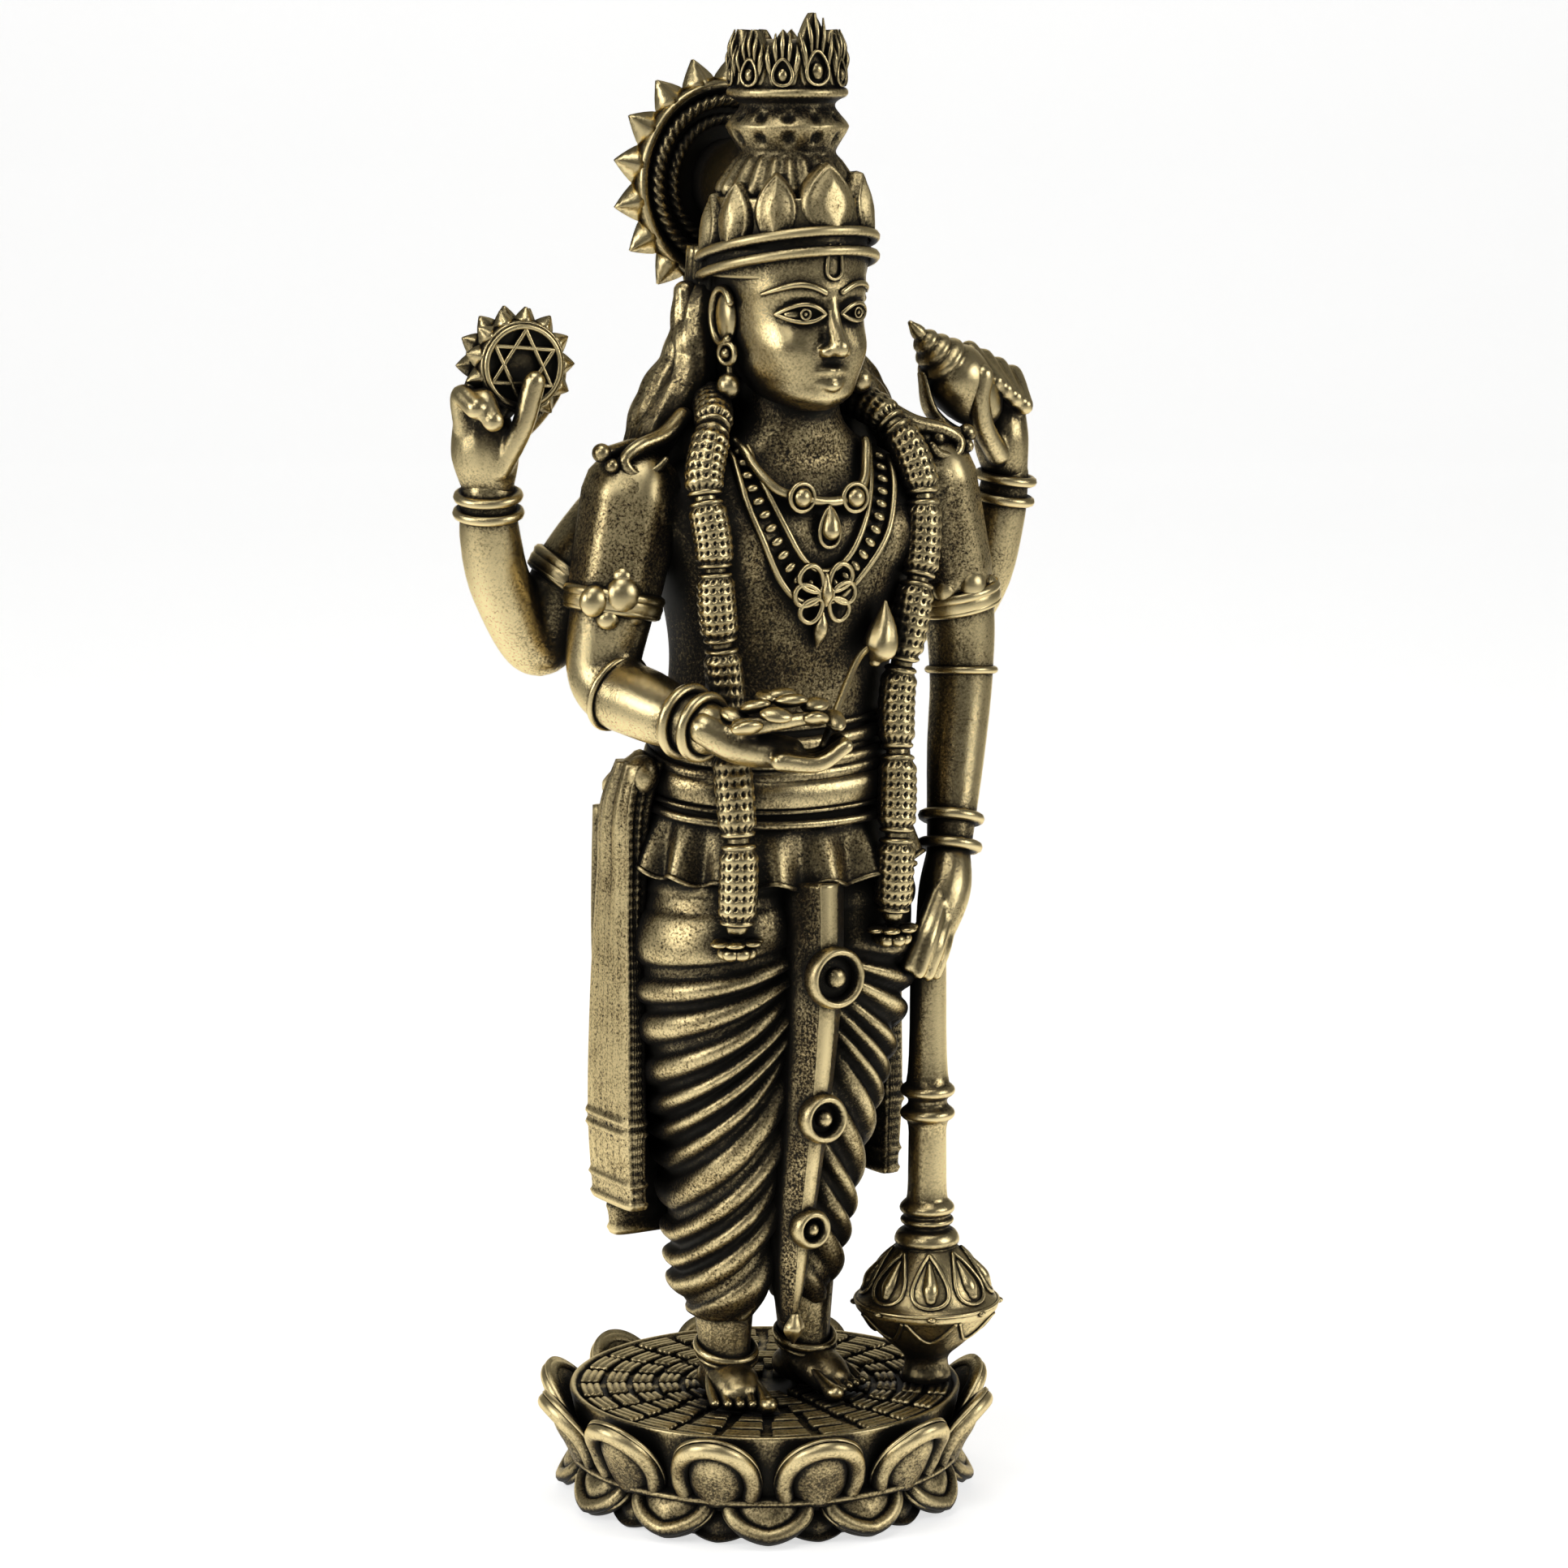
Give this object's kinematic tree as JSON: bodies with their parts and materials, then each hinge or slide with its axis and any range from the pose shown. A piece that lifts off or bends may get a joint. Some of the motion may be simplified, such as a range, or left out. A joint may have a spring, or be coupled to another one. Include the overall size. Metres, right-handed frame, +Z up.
{
  "type": "vishnu statue",
  "caption": "Small solid brass statue of Vishnu standing on a double lotus seat, holding a discus, a conch and a mace, with garland, pleated dhoti, tall feathered crown and wheel halo.",
  "frame": {"origin": "on the floor, at the centre of the lotus seat's flat underside", "axes": "+Z up, -Y the way the figure faces, -X towards the figure's right side"},
  "size_m": [0.0341, 0.0236, 0.0749],
  "materials": {
    "antique_brass": "antiqued: polished on the raised parts, black in the hollows"
  },
  "bodies": {
    "root": {"vishnu_statue": "antique_brass"}
  },
  "joints": []
}
